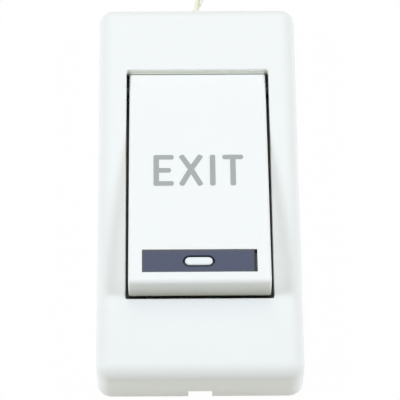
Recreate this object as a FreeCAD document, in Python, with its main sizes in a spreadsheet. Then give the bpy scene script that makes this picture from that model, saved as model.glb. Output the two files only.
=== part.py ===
import FreeCAD, Part
import math
import os
import re
import Sketcher
from FreeCAD import Placement, Rotation, Vector

# Door exit button: a narrow moulded housing with a wide rocker, hinged near its top end.
# It lies on its back. The origin is the centre of the back face, +Z is out of the wall,
# +Y is up the wall, towards the end where the leads come out, and +X is to the right.

# Driving dimensions in millimetres
SIZES = {
    # front cover
    "housing_width": 50.0,
    "housing_length": 102.0,
    "housing_depth": 13.0,
    "cover_wall": 2.0,
    "face_wall": 2.0,
    "edge_round": 3.4,
    "corner_round": 3.6,
    "cavity_corner": 1.0,
    "side_margin": 7.05,
    "top_margin": 18.6,
    "foot_margin": 20.2,
    "opening_corner": 0.5,
    "opening_edge": 0.3,
    "collar_depth": 1.0,
    "collar_width": 1.2,
    "notch_width": 5.8,
    "notch_height": 3.2,
    # hinge ears under the cover's face, and the rocker's pins in them
    "ear_thickness": 2.0,
    "ear_width": 5.5,
    "ear_offset": 0.3,
    "hinge_inset": 3.9,
    "hinge_depth": 4.5,
    "pin_diameter": 2.5,
    "pin_clearance": 0.06,
    "pin_overhang": 0.15,
    "hub_diameter": 3.2,
    "hub_clearance": 0.25,
    # snap fit between cover and back plate
    "snap_width": 6.0,
    "snap_thickness": 1.4,
    "snap_reach": 0.55,
    "snap_inset": 13.0,
    "snap_height": 6.6,
    "catch_reach": 0.6,
    "catch_height": 0.8,
    "catch_level": 4.3,
    "snap_play": 0.1,
    "snap_edge": 0.4,
    "snap_taper": 0.2,
    # back plate
    "plate_thickness": 2.0,
    "plate_gap": 0.25,
    "rim_thickness": 1.0,
    "rim_height": 1.5,
    "mount_inset": 9.25,
    "mount_hole": 4.2,
    "mount_boss": 8.0,
    "mount_boss_height": 1.2,
    "entry_hole": 10.0,
    "entry_drop": 17.75,
    "plate_notch_width": 9.0,
    "plate_notch_depth": 2.55,
    "peg_diameter": 2.0,
    "peg_height": 2.6,
    # rocker
    "rocker_side_gap": 0.75,
    "rocker_end_gap": 0.6,
    "rocker_wall": 1.5,
    "head_drop": 1.3,
    "foot_rise": 6.4,
    "front_round": 1.0,
    "front_overlap": 0.1,
    "foot_round": 0.3,
    "rocker_round": 0.5,
    "lip_width": 4.0,
    "lip_reach": 1.2,
    "lip_thickness": 1.6,
    "lip_gap": 0.15,
    "rib_thickness": 1.2,
    "rib_height": 2.5,
    "rib_spacing": 16.0,
    # indicator strip and lens on the rocker's sloping face
    "recess_margin": 3.3,
    "recess_width": 6.4,
    "recess_depth": 1.0,
    "recess_inset": 6.03,
    "strip_short": 0.5,
    "strip_play": 0.05,
    "strip_thickness": 0.85,
    "window_length": 7.7,
    "window_width": 3.1,
    "window_offset": -0.2,
    "lens_length": 6.7,
    "lens_width": 2.2,
    "lens_proud": 0.1,
    "lens_dome": 0.3,
    "lens_flange": 0.6,
    "lens_flange_thickness": 0.9,
    "lens_stem": 1.6,
    # circuit board
    "board_margin": 9.0,
    "board_length": 38.5,
    "board_thickness": 1.6,
    "board_stand": 2.0,
    "board_corner": 1.0,
    "post_diameter": 4.6,
    "post_inset_x": 3.0,
    "post_inset_y": 3.0,
    "locating_pin": 1.6,
    "locating_proud": 0.5,
    "pilot_spare": 0.5,
    "fit_gap": 0.1,
    "screw_shank": 1.9,
    "screw_play": 0.4,
    "screw_head": 3.8,
    "screw_head_height": 1.4,
    "screw_length": 4.0,
    "cross_length": 2.3,
    "cross_width": 0.6,
    # push switch
    "switch_distance": 23.37,
    "switch_side": 8.5,
    "switch_corner": 0.6,
    "switch_body_height": 5.0,
    "switch_floor": 1.0,
    "switch_lid": 1.0,
    "switch_chamber": 5.2,
    "plunger_side": 3.2,
    "plunger_round": 0.5,
    "plunger_flange": 4.6,
    "plunger_flange_thickness": 0.8,
    "plunger_gap": 0.2,
    "press_boss": 5.2,
    "press_boss_height": 0.7,
    "switch_pin_diameter": 0.7,
    "switch_pin_pitch": 2.5,
    "switch_row_pitch": 5.0,
    # return spring
    "spring_distance": 11.37,
    "spring_coil": 5.6,
    "spring_wire": 0.6,
    "spring_turns": 6.5,
    "seat_height": 0.9,
    "spring_seat_diameter": 7.4,
    "spring_gap": 0.1,
    "spring_rest": 0.02,
    "spring_post": 3.8,
    "spring_post_height": 4.5,
    "spring_peg": 3.8,
    "spring_peg_length": 2.5,
    "spring_hole": 8.4,
    # indicator lamp and its resistor
    "lamp_margin": 3.13,
    "lamp_diameter": 3.0,
    "lamp_flange": 3.6,
    "lamp_flange_height": 1.0,
    "lamp_height": 5.0,
    "lamp_leg_pitch": 2.54,
    "leg_diameter": 0.5,
    "leg_below": 1.3,
    "resistor_x": 8.0,
    "resistor_drop": 2.0,
    "resistor_diameter": 2.2,
    "resistor_length": 6.2,
    "resistor_span": 10.0,
    "resistor_bend": 0.8,
    "hole_clearance": 0.15,
    # leads
    "wire_diameter": 0.92,
    "pair_diameter": 1.9,
    "tail_diameter": 0.5,
    "tail_rise": 0.8,
    "lead_upright": 2.6,
    "lead_straight": 1.6,
    "exit_offset": -1.5,
    "exit_depth": 0.5,
    "lead_rest": 0.05,
    "lead_lift": 0.15,
    "coil_across": 14.15,
    "coil_distance": 24.0,
    "coil_mean_radius": 10.2,
    "coil_section": 3.9,
    "coil_round": 0.95,
    "coil_play": 0.2,
    "coil_tie_width": 3.0,
    "coil_tie_thickness": 0.3,
    "stripped_length": 6.0,
    "ends_apart": 1.0,
}

# What follows from them
WORKED_OUT = {
    "half_width": "housing_width / 2",
    "half_length": "housing_length / 2",
    "ceiling": "housing_depth - face_wall",
    "cavity_half_width": "half_width - cover_wall",
    "cavity_half_length": "half_length - cover_wall",
    "opening_half": "half_width - side_margin",
    "opening_top": "half_length - top_margin",
    "opening_foot": "foot_margin - half_length",
    "snap_y": "half_length - snap_inset",
    "mount_y": "half_length - mount_inset",
    "entry_y": "mount_y - entry_drop",
    "hinge_y": "opening_top - hinge_inset",
    "hinge_z": "housing_depth - hinge_depth",
    "ear_start": "opening_half + ear_offset",
    "plate_half_width": "cavity_half_width - plate_gap",
    "plate_half_length": "cavity_half_length - plate_gap",
    "rocker_half": "opening_half - rocker_side_gap",
    "head_y": "opening_top - rocker_end_gap",
    "head_z": "housing_depth - head_drop",
    "foot_z": "housing_depth + foot_rise",
    "front_radius": "sqrt((hinge_y - opening_foot - rocker_end_gap) ^ 2 + hinge_depth ^ 2)",
    "foot_y": "hinge_y - sqrt(front_radius ^ 2 - (foot_z - hinge_z) ^ 2)",
    "skirt_level": "hinge_z - hub_diameter / 2",
    "wall_foot_z": "housing_depth - front_overlap",
    "wall_foot_y": "hinge_y - sqrt(front_radius ^ 2 - (wall_foot_z - hinge_z) ^ 2)",
    "lip_root_y": "wall_foot_y + rocker_wall",
    "lip_top": "ceiling - lip_gap",
    "lip_y": "hinge_y - sqrt(front_radius ^ 2 - (lip_top - hinge_z) ^ 2)",
    "slope": "atan2(foot_z - head_z; head_y - foot_y)",
    "window_y": "foot_y + recess_inset * cos(slope)",
    "switch_y": "window_y + switch_distance",
    "spring_y": "window_y + spring_distance",
    "spring_seat": "head_z + (head_y - spring_y) * tan(slope) - rocker_wall / cos(slope) - seat_height",
    "boss_roof": "head_z + (head_y - switch_y) * tan(slope) - rocker_wall / cos(slope)",
    "plunger_top": "boss_roof - press_boss_height - plunger_gap",
    "recess_length": "2 * (rocker_half - recess_margin)",
    "board_width": "2 * (cavity_half_width - board_margin)",
    "board_under": "plate_thickness + board_stand",
    "board_over": "board_under + board_thickness",
    "board_foot_end": "window_y - lamp_margin",
    "board_top_end": "board_foot_end + board_length",
    "post_x": "board_width / 2 - post_inset_x",
    "post_high": "board_top_end - post_inset_y",
    "post_low": "board_foot_end + post_inset_y",
    "resistor_y": "switch_y - resistor_drop",
    "flange_top": "board_over + switch_body_height - switch_lid - fit_gap",
    "spring_top": "spring_seat - spring_gap",
    "coil_bottom": "coil_tie_thickness",
    "leg_foot": "board_under - leg_below",
    "lead_level": "plate_thickness + wire_diameter / 2 + lead_lift",
    "cord_level": "pair_diameter / 2 + lead_rest",
    "coil_y": "half_length + coil_distance",
}

# Places along the leads: where they are soldered, the pegs that they pass between,
# their way to the cable notch, and the pair's way from there over the table to its coil
LEAD_PADS = (("7.8 - post_x", "board_top_end - 2.4"), ("5.2 - post_x", "board_top_end - 2.4"))
LEAD_PEGS = (("-9.8", "half_length - 18"), ("-5.3", "half_length - 15"), ("-8.7", "half_length - 9"))
LEAD_ROUTES = (
    (
        ("-4.4", "board_top_end + 2.4", "board_over + 2"),
        ("-6.4", "board_top_end + 7.5", "lead_level"),
        ("-7", "half_length - 15", "lead_level"),
        ("-5.65", "half_length - 8.1", "lead_level"),
        ("-2.2", "half_length - 4.6", "lead_level"),
    ),
    (
        ("-6.6", "board_top_end + 2.4", "board_over + 2"),
        ("-7.9", "board_top_end + 7.5", "lead_level"),
        ("-8.05", "half_length - 15", "lead_level"),
        ("-6.6", "half_length - 7.6", "lead_level"),
        ("-3.1", "half_length - 4.1", "lead_level"),
    ),
)
CORD_ROUTE = (
    ("exit_offset", "half_length - exit_depth", "cord_level"),
    ("-1", "half_length + 4", "cord_level"),
    ("0.6", "half_length + 8", "cord_level"),
    ("2.6", "half_length + 14", "cord_level"),
    ("3", "half_length + 20", "cord_level"),
    ("coil_across - coil_mean_radius - pair_diameter / 2", "coil_y", "cord_level"),
)

ENDS_START = ("coil_across + 2.55", "coil_y + 7.15", "coil_bottom + pair_diameter / 4")
ENDS_HEADING = (0.8, -0.6, 0)

# The share of the shorter run that the leads' arcs take up on each side of a point
CORD_SHARE = 0.45
LEAD_SHARE = 0.4

# How far an added shape sinks into its neighbour, and how far a cut runs past a face
BITE = "0.4"
PAST = "1"

doc = FreeCAD.newDocument("DoorExitButton")
sheet = doc.addObject("Spreadsheet::Sheet", "Sizes")
for row, (name, size) in enumerate(SIZES.items(), start=1):
    sheet.set(f"A{row}", name.replace("_", " "))
    sheet.set(f"B{row}", str(size))
    sheet.setAlias(f"B{row}", name)
doc.recompute()


def formula(text):
    """Write the sheet's name before each size, and each worked-out value in full."""

    def spell_out(found):
        word = found.group(0)
        if word in SIZES:
            return f"Sizes.{word}"
        if word in WORKED_OUT:
            return f"({formula(WORKED_OUT[word])})"
        return word

    return re.sub(r"[a-z_][a-z_0-9]*", spell_out, text)


def value(text):
    """The number that a formula gives at present."""
    return float(sheet.evalExpression(formula(text)))


def bind(thing, **formulas):
    """Tie properties of an object to the sheet."""
    for prop, text in formulas.items():
        thing.setExpression(prop, formula(text))


def place(thing, at, turned=None):
    """Put an object at a point given by three formulas, turned first where that is asked."""
    if turned:
        thing.Placement = Placement(Vector(), turned)
    for axis, text in zip("xyz", at):
        if text != "0":
            thing.setExpression(f"Placement.Base.{axis}", formula(text))


ALONG = {
    "x": Rotation(Vector(0, 1, 0), 90),
    "y": Rotation(Vector(1, 0, 0), -90),
    "z": None,
}


def on_face(thing, up, right="0", out="0"):
    """Put an object on the rocker's sloping face, at a distance up it from its lower edge."""
    thing.Placement = Placement(Vector(), Rotation(Vector(1, 0, 0), -1))
    thing.setExpression("Placement.Rotation.Angle", formula("-slope"))
    place(
        thing,
        (
            right,
            f"foot_y + ({up}) * cos(slope) + ({out}) * sin(slope)",
            f"foot_z - ({up}) * sin(slope) + ({out}) * cos(slope)",
        ),
    )


def new_body(name):
    body = doc.addObject("PartDesign::Body", name)
    body.Label = name
    return body


def box(body, name, low, size, cut=False):
    """Add or cut a box, from its lowest corner and its size."""
    kind = "SubtractiveBox" if cut else "AdditiveBox"
    block = body.newObject(f"PartDesign::{kind}", f"{body.Name}_{name}")
    bind(block, Length=size[0], Width=size[1], Height=size[2])
    place(block, low)
    return block


def cylinder(body, name, at, diameter, length, along="z", cut=False):
    """Add or cut a cylinder that starts at a point and runs along an axis."""
    kind = "SubtractiveCylinder" if cut else "AdditiveCylinder"
    rod = body.newObject(f"PartDesign::{kind}", f"{body.Name}_{name}")
    bind(rod, Radius=f"({diameter}) / 2", Height=length)
    place(rod, at, ALONG[along])
    return rod


def flat_sketch(body, name, role, offset="0"):
    """A sketch on one of the body's own origin planes, or parallel to it."""
    flat = body.newObject("Sketcher::SketchObject", f"{body.Name}_{name}")
    plane = [item for item in body.Origin.OriginFeatures if item.Role == role][0]
    flat.AttachmentSupport = [(plane, "")]
    flat.MapMode = "FlatFace"
    if offset != "0":
        flat.setExpression("AttachmentOffset.Base.z", formula(offset))
    return flat


def fix_point(flat, line, end, across, up):
    """Hold one end of a line at a place given by two formulas, either of which may be open."""
    for kind, text in (("DistanceX", across), ("DistanceY", up)):
        if text is None:
            continue
        number = flat.addConstraint(Sketcher.Constraint(kind, -1, 1, line, end, value(text)))
        flat.setExpression(f"Constraints[{number}]", formula(text))


def outline(flat, points, arc_after=None, arc_centre=None, open_across=()):
    """A closed outline through points, with one side as an arc about a given centre."""
    places = [Vector(value(across), value(up), 0) for across, up in points]
    count = len(points)
    for index in range(count):
        start = places[index]
        end = places[(index + 1) % count]
        if index == arc_after:
            centre = Vector(value(arc_centre[0]), value(arc_centre[1]), 0)
            middle_way = (start + end) / 2 - centre
            middle = centre + middle_way.normalize() * (start - centre).Length
            flat.addGeometry(Part.Arc(start, middle, end))
        else:
            flat.addGeometry(Part.LineSegment(start, end))
    joints = []
    for index in range(count):
        ends = []
        for line, corner in ((index - 1) % count, 2), (index, 1):
            if line == arc_after:
                here = places[index]
                first = flat.Geometry[line].StartPoint
                corner = 1 if (first - here).Length < 1e-6 else 2
            ends += [line, corner]
        joints.append(Sketcher.Constraint("Coincident", *ends))
    flat.addConstraint(joints)
    for index, (across, up) in enumerate(points):
        line = (index - 1) % count if index == arc_after else index
        end = 2 if index == arc_after else 1
        fix_point(flat, line, end, None if index in open_across else across, up)
    if arc_after is not None:
        fix_point(flat, arc_after, 3, *arc_centre)


def rectangle(flat, half_across, half_up, across="0", up="0"):
    """A rectangle about a centre."""
    left = f"({across}) - ({half_across})"
    right = f"({across}) + ({half_across})"
    low = f"({up}) - ({half_up})"
    high = f"({up}) + ({half_up})"
    outline(flat, [(left, low), (right, low), (right, high), (left, high)])


def oblong(flat, length, width, across="0", up="0"):
    """A slot outline with half-round ends, about a centre."""
    reach = f"(({length}) - ({width})) / 2"
    far = value(reach)
    radius = value(width) / 2
    centre = Vector(value(across), value(up), 0)
    quarter = math.pi / 2
    for side in (1, -1):
        middle = centre + Vector(side * far, 0, 0)
        circle = Part.Circle(middle, Vector(0, 0, 1), radius)
        begin = -quarter if side > 0 else quarter
        flat.addGeometry(Part.ArcOfCircle(circle, begin, begin + 2 * quarter))
    for side in (1, -1):
        start = centre + Vector(far, side * radius, 0)
        end = centre + Vector(-far, side * radius, 0)
        flat.addGeometry(Part.LineSegment(start, end))
    flat.addConstraint(
        [
            Sketcher.Constraint("Tangent", 0, 2, 2, 1),
            Sketcher.Constraint("Tangent", 2, 2, 1, 1),
            Sketcher.Constraint("Tangent", 0, 1, 3, 1),
            Sketcher.Constraint("Tangent", 3, 2, 1, 2),
        ]
    )
    fix_point(flat, 0, 3, f"({across}) + {reach}", up)
    fix_point(flat, 1, 3, f"({across}) - {reach}", up)
    number = flat.addConstraint(Sketcher.Constraint("Radius", 0, radius))
    flat.setExpression(f"Constraints[{number}]", formula(f"({width}) / 2"))


def pad(body, flat, name, length, both_ways=False):
    raised = body.newObject("PartDesign::Pad", f"{body.Name}_{name}")
    raised.Profile = flat
    raised.SideType = "Symmetric" if both_ways else "One side"
    bind(raised, Length=length)
    return raised


def pocket(body, flat, name, length, both_ways=False, turned=False):
    sunk = body.newObject("PartDesign::Pocket", f"{body.Name}_{name}")
    sunk.Profile = flat
    sunk.SideType = "Symmetric" if both_ways else "One side"
    sunk.Reversed = turned
    bind(sunk, Length=length)
    return sunk


def revolve(body, flat, name):
    """Turn a half profile about the sketch's own upright axis."""
    turned = body.newObject("PartDesign::Revolution", f"{body.Name}_{name}")
    turned.Profile = flat
    turned.ReferenceAxis = (flat, ["V_Axis"])
    turned.Angle = 360
    return turned


def mirror(body, name, originals, role):
    """Mirror features across one of the body's origin planes."""
    plane = [item for item in body.Origin.OriginFeatures if item.Role == role][0]
    other = body.newObject("PartDesign::Mirrored", f"{body.Name}_{name}")
    other.Originals = originals
    other.MirrorPlane = (plane, [""])
    body.Tip = other
    return other


def round_edges(body, name, radius, chosen):
    """Round the edges of the body so far for which the test is true."""
    doc.recompute()
    base = body.Tip
    names = [f"Edge{index}" for index, edge in enumerate(base.Shape.Edges, start=1) if chosen(edge)]
    rounding = body.newObject("PartDesign::Fillet", f"{body.Name}_{name}")
    rounding.Base = (base, names)
    bind(rounding, Radius=radius)
    return rounding


def near(first, second, tolerance=1e-4):
    return abs(first - second) < tolerance


def upright(edge):
    """True for a straight edge along Z."""
    ends = edge.Vertexes
    return len(ends) == 2 and near(ends[0].X, ends[1].X) and near(ends[0].Y, ends[1].Y)


def level(edge, height):
    """True for an edge that lies at one height."""
    return near(edge.BoundBox.ZMin, height) and near(edge.BoundBox.ZMax, height)


def within(edge, half_width, low, high):
    """True for an edge inside a strip of the given half width, between two heights up the wall."""
    bounds = edge.BoundBox
    slack = 1e-3
    across = bounds.XMin > -half_width - slack and bounds.XMax < half_width + slack
    return across and bounds.YMin > low - slack and bounds.YMax < high + slack


def make_front_cover():
    cover = new_body("front_cover")
    face = flat_sketch(cover, "outline", "XY_Plane")
    rectangle(face, "half_width", "half_length")
    pad(cover, face, "block", "housing_depth")
    round_edges(cover, "corners", "corner_round", upright)
    top = value("housing_depth")
    round_edges(cover, "edge", "edge_round", lambda edge: level(edge, top))
    hollow = flat_sketch(cover, "hollow_outline", "XY_Plane")
    rectangle(hollow, "cavity_half_width", "cavity_half_length")
    pocket(cover, hollow, "hollow", "ceiling", turned=True)
    across = value("cavity_half_width")
    along = value("cavity_half_length")
    round_edges(
        cover,
        "cavity_corners",
        "cavity_corner",
        lambda edge: upright(edge)
        and near(abs(edge.Vertexes[0].X), across)
        and near(abs(edge.Vertexes[0].Y), along),
    )
    opening = flat_sketch(cover, "opening_outline", "XY_Plane", f"ceiling - {PAST}")
    rectangle(
        opening,
        "opening_half",
        "(opening_top - opening_foot) / 2",
        up="(opening_top + opening_foot) / 2",
    )
    pocket(cover, opening, "opening", f"face_wall + 2 * {PAST}", turned=True)
    opening_half = value("opening_half")
    low = value("opening_foot")
    high = value("opening_top")
    round_edges(
        cover,
        "opening_corners",
        "opening_corner",
        lambda edge: upright(edge) and within(edge, opening_half, low, high),
    )
    round_edges(
        cover,
        "opening_edge",
        "opening_edge",
        lambda edge: level(edge, top) and within(edge, opening_half, low, high),
    )
    box(
        cover,
        "collar",
        ("-opening_half - collar_width", "opening_top", "ceiling - collar_depth"),
        ("2 * (opening_half + collar_width)", "collar_width", f"collar_depth + {BITE}"),
    )
    add_hinge_ears(cover)
    add_catches(cover)
    for name, wall in (("pry_notch", "-half_length"), ("cable_notch", "cavity_half_length")):
        box(
            cover,
            name,
            ("-notch_width / 2", f"{wall} - {PAST}", f"-{PAST}"),
            ("notch_width", f"cover_wall + 2 * {PAST}", f"notch_height + {PAST}"),
            cut=True,
        )
    return cover


def add_hinge_ears(cover):
    """Two ears under the face, with a hole each for the rocker's pins."""
    for word, start in (("right", "ear_start"), ("left", "-ear_start - ear_thickness")):
        box(
            cover,
            f"ear_web_{word}",
            (start, "hinge_y - ear_width / 2", "hinge_z"),
            ("ear_thickness", "ear_width", f"ceiling - hinge_z + {BITE}"),
        )
        tip = (start, "hinge_y", "hinge_z")
        cylinder(cover, f"ear_tip_{word}", tip, "ear_width", "ear_thickness", along="x")
        hole = (f"{start} - {PAST}", "hinge_y", "hinge_z")
        cylinder(
            cover,
            f"ear_hole_{word}",
            hole,
            "pin_diameter + 2 * pin_clearance",
            f"ear_thickness + 2 * {PAST}",
            along="x",
            cut=True,
        )


def add_catches(cover):
    """Four ridges on the side walls, which the back plate's snaps hook over."""
    for end in (1, -1):
        for side in (1, -1):
            inner = "cavity_half_width - catch_reach" if side > 0 else f"-cavity_half_width - {BITE}"
            box(
                cover,
                f"catch_{'high' if end > 0 else 'low'}_{'right' if side > 0 else 'left'}",
                (inner, f"{end} * snap_y - snap_width / 2", "catch_level"),
                (f"catch_reach + {BITE}", "snap_width", "catch_height"),
            )


def make_back_plate():
    plate = new_body("back_plate")
    face = flat_sketch(plate, "outline", "XY_Plane")
    rectangle(face, "plate_half_width", "plate_half_length")
    pad(plate, face, "slab", "plate_thickness + rim_height")
    round_edges(plate, "corners", "cavity_corner", upright)
    tray = flat_sketch(plate, "tray_outline", "XY_Plane", "plate_thickness")
    rectangle(tray, "plate_half_width - rim_thickness", "plate_half_length - rim_thickness")
    pocket(plate, tray, "tray", f"rim_height + {PAST}", turned=True)
    add_snaps(plate)
    add_mount_bosses(plate)
    through = f"plate_thickness + 2 * {PAST}"
    cylinder(plate, "cable_entry", ("0", "entry_y", f"-{PAST}"), "entry_hole", through, cut=True)
    box(
        plate,
        "cable_notch",
        ("-plate_notch_width / 2", "plate_half_length - plate_notch_depth", f"-{PAST}"),
        ("plate_notch_width", f"plate_notch_depth + {PAST}", f"plate_thickness + rim_height + 2 * {PAST}"),
        cut=True,
    )
    add_board_posts(plate)
    cylinder(
        plate,
        "spring_post",
        ("0", "spring_y", f"plate_thickness - {BITE}"),
        "spring_post",
        f"spring_post_height + {BITE}",
    )
    for number, (across, up) in enumerate(LEAD_PEGS, start=1):
        cylinder(
            plate,
            f"lead_peg_{number}",
            (across, up, f"plate_thickness - {BITE}"),
            "peg_diameter",
            f"peg_height + {BITE}",
        )
    return plate


def add_snaps(plate):
    """Four tongues with hooked tips that clip over the cover's ridges."""
    root = "cavity_half_width - catch_reach - snap_play"
    hook = "catch_level + catch_height + snap_play"
    profile = [
        (f"{root} - snap_thickness", f"plate_thickness - {BITE}"),
        (root, f"plate_thickness - {BITE}"),
        (root, hook),
        (f"{root} + snap_reach", hook),
        (f"{root} + snap_reach", f"{hook} + snap_edge"),
        (f"{root} - snap_taper", "snap_height"),
        (f"{root} - snap_thickness", "snap_height"),
    ]
    for end, place_word in ((1, "high"), (-1, "low")):
        flat = flat_sketch(plate, f"snap_outline_{place_word}", "XZ_Plane", f"{-end} * snap_y")
        outline(flat, profile)
        tongue = pad(plate, flat, f"snap_{place_word}", "snap_width", both_ways=True)
        mirror(plate, f"snaps_{place_word}", [tongue], "YZ_Plane")


def add_mount_bosses(plate):
    """Two raised rims with the holes for the wall screws."""
    for end, place_word in ((1, "high"), (-1, "low")):
        up = f"{end} * mount_y"
        cylinder(
            plate,
            f"mount_boss_{place_word}",
            ("0", up, f"plate_thickness - {BITE}"),
            "mount_boss",
            f"mount_boss_height + {BITE}",
        )
        cylinder(
            plate,
            f"mount_hole_{place_word}",
            ("0", up, f"-{PAST}"),
            "mount_hole",
            f"plate_thickness + mount_boss_height + 2 * {PAST}",
            cut=True,
        )


def board_posts():
    """Where the board's posts stand, and whether each takes a screw."""
    return (
        ("post_x", "post_high", True),
        ("-post_x", "post_low", True),
        ("-post_x", "post_high", False),
        ("post_x", "post_low", False),
    )


def add_board_posts(plate):
    """Four posts, two with pilot holes for screws and two with locating pins."""
    for number, (across, up, screwed) in enumerate(board_posts(), start=1):
        foot = (across, up, f"plate_thickness - {BITE}")
        cylinder(plate, f"board_post_{number}", foot, "post_diameter", f"board_stand + {BITE}")
        if screwed:
            depth = "screw_length - board_thickness + pilot_spare"
            cylinder(
                plate,
                f"pilot_hole_{number}",
                (across, up, f"board_under - ({depth})"),
                "screw_shank + fit_gap",
                f"{depth} + {PAST}",
                cut=True,
            )
        else:
            cylinder(
                plate,
                f"locating_pin_{number}",
                (across, up, f"board_under - {BITE}"),
                "locating_pin",
                f"board_thickness + locating_proud + {BITE}",
            )


def make_rocker():
    rocker = new_body("rocker")
    side = flat_sketch(rocker, "side_outline", "YZ_Plane")
    # the front wall is struck about the hinge, so that its gap stays the same as it is pressed
    outline(
        side,
        [
            ("head_y", "skirt_level"),
            ("head_y", "head_z"),
            ("foot_y", "foot_z"),
            ("wall_foot_y", "wall_foot_z"),
            ("lip_root_y", "wall_foot_z"),
            ("lip_root_y", "lip_top - lip_thickness"),
        ],
        arc_after=2,
        arc_centre=("hinge_y", "hinge_z"),
        open_across=(3,),
    )
    pad(rocker, side, "block", "2 * rocker_half", both_ways=True)
    round_rocker(rocker)
    hollow = flat_sketch(rocker, "hollow_outline", "YZ_Plane")
    under = "rocker_wall / cos(slope)"
    inner_head = "head_y - rocker_wall"
    inner_foot = "foot_y + rocker_wall"
    outline(
        hollow,
        [
            (inner_head, "-1"),
            (inner_head, f"head_z + rocker_wall * tan(slope) - {under}"),
            (inner_foot, f"foot_z - rocker_wall * tan(slope) - {under}"),
            ("lip_root_y", "wall_foot_z"),
            ("lip_root_y", "-1"),
        ],
    )
    pocket(rocker, hollow, "hollow", "2 * (rocker_half - rocker_wall)", both_ways=True)
    add_lips(rocker)
    add_rocker_pins(rocker)
    add_rocker_ribs(rocker)
    add_indicator_seat(rocker)
    return rocker


def round_rocker(rocker):
    """Soften the rocker's front edge most, then its side, head and corner edges."""
    half = value("rocker_half")
    foot_y = value("foot_y")
    foot_z = value("foot_z")
    head_y = value("head_y")
    head_z = value("head_z")
    lip_top = value("lip_top")
    front_reach = value("front_round") * 1.3

    def crossing(edge, y, z):
        """True for an edge from side to side at one place."""
        bounds = edge.BoundBox
        return bounds.XLength > half and near(bounds.Center.y, y) and near(bounds.Center.z, z)

    def on_side(edge):
        bounds = edge.BoundBox
        return near(bounds.XLength, 0) and near(abs(bounds.Center.x), half)

    def outer_edge(edge):
        bounds = edge.BoundBox
        if crossing(edge, head_y, head_z):
            return True
        if not on_side(edge):
            return False
        sloping = bounds.YLength > half and bounds.ZMin > lip_top
        front = bounds.YMax < foot_y + front_reach and bounds.ZMin > lip_top
        back = near(bounds.YMin, head_y) and near(bounds.YMax, head_y)
        return sloping or front and bounds.ZLength > front_reach or back

    round_edges(rocker, "front_rounds", "front_round", lambda edge: crossing(edge, foot_y, foot_z))
    round_edges(rocker, "outer_rounds", "rocker_round", outer_edge)
    low_y = value("wall_foot_y")
    low_z = value("wall_foot_z")
    round_edges(rocker, "foot_rounds", "foot_round", lambda edge: crossing(edge, low_y, low_z))


def add_lips(rocker):
    """A lip at each front corner, which stops under the cover's face."""
    front = "lip_y - lip_reach"
    for word, start in (("right", "rocker_half - lip_width"), ("left", "-rocker_half")):
        box(
            rocker,
            f"lip_{word}",
            (start, front, "lip_top - lip_thickness"),
            ("lip_width", f"lip_root_y - ({front}) + {BITE}", "lip_thickness"),
        )


def add_rocker_pins(rocker):
    """A hub and a pin on each side, on the hinge axis."""
    rods = (
        ("hub", "hub_diameter", "ear_start - hub_clearance"),
        ("pin", "pin_diameter", "ear_start + ear_thickness + pin_overhang"),
    )
    for name, diameter, end in rods:
        for word, start in (("right", f"rocker_half - {BITE}"), ("left", f"-({end})")):
            spot = (start, "hinge_y", "hinge_z")
            length = f"{end} - rocker_half + {BITE}"
            cylinder(rocker, f"{name}_{word}", spot, diameter, length, along="x")


def add_rocker_ribs(rocker):
    """Two long ribs, the spring's seat and the boss that presses the switch."""
    ceiling_at = "head_z + (head_y - ({0})) * tan(slope) - rocker_wall / cos(slope)"
    inner_head = "head_y - rocker_wall"
    inner_foot = "foot_y + rocker_wall"
    ribs = []
    for side, word in ((1, "right"), (-1, "left")):
        flat = flat_sketch(rocker, f"rib_outline_{word}", "YZ_Plane", f"{side} * rib_spacing / 2")
        head = ceiling_at.format(inner_head)
        foot = ceiling_at.format(inner_foot)
        outline(
            flat,
            [
                (f"{inner_head} + {BITE}", f"{head} - rib_height"),
                (f"{inner_head} + {BITE}", f"{head} + {BITE}"),
                (f"{inner_foot} - {BITE}", f"{foot} + {BITE}"),
                (f"{inner_foot} - {BITE}", f"{foot} - rib_height"),
            ],
        )
        ribs.append(pad(rocker, flat, f"rib_{word}", "rib_thickness", both_ways=True))
    seat = ("0", "spring_y", "spring_seat")
    cylinder(rocker, "spring_seat", seat, "spring_seat_diameter", f"seat_height + {BITE}")
    cylinder(
        rocker,
        "spring_peg",
        ("0", "spring_y", "spring_seat - spring_peg_length"),
        "spring_peg",
        f"spring_peg_length + {BITE}",
    )
    boss = ("0", "switch_y", "plunger_top + plunger_gap")
    cylinder(rocker, "press_boss", boss, "press_boss", f"press_boss_height + {BITE}")


def add_indicator_seat(rocker):
    """The recess for the strip and the window through the wall, square to the sloping face."""
    recess = rocker.newObject("PartDesign::SubtractiveBox", "rocker_recess")
    bind(recess, Length="recess_length", Width="recess_width", Height=f"recess_depth + {PAST}")
    on_face(recess, "recess_inset - recess_width / 2", "-recess_length / 2", "-recess_depth")
    reach = "(window_length - window_width) / 2"
    block = rocker.newObject("PartDesign::SubtractiveBox", "rocker_window")
    bind(block, Length=f"2 * {reach}", Width="window_width", Height=f"rocker_wall + 2 * {PAST}")
    on_face(block, "recess_inset - window_width / 2", f"window_offset - {reach}", f"-rocker_wall - {PAST}")
    for side, word in ((1, "right"), (-1, "left")):
        end = rocker.newObject("PartDesign::SubtractiveCylinder", f"rocker_window_{word}")
        bind(end, Radius="window_width / 2", Height=f"rocker_wall + 2 * {PAST}")
        on_face(end, "recess_inset", f"window_offset + {side} * {reach}", f"-rocker_wall - {PAST}")


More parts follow.
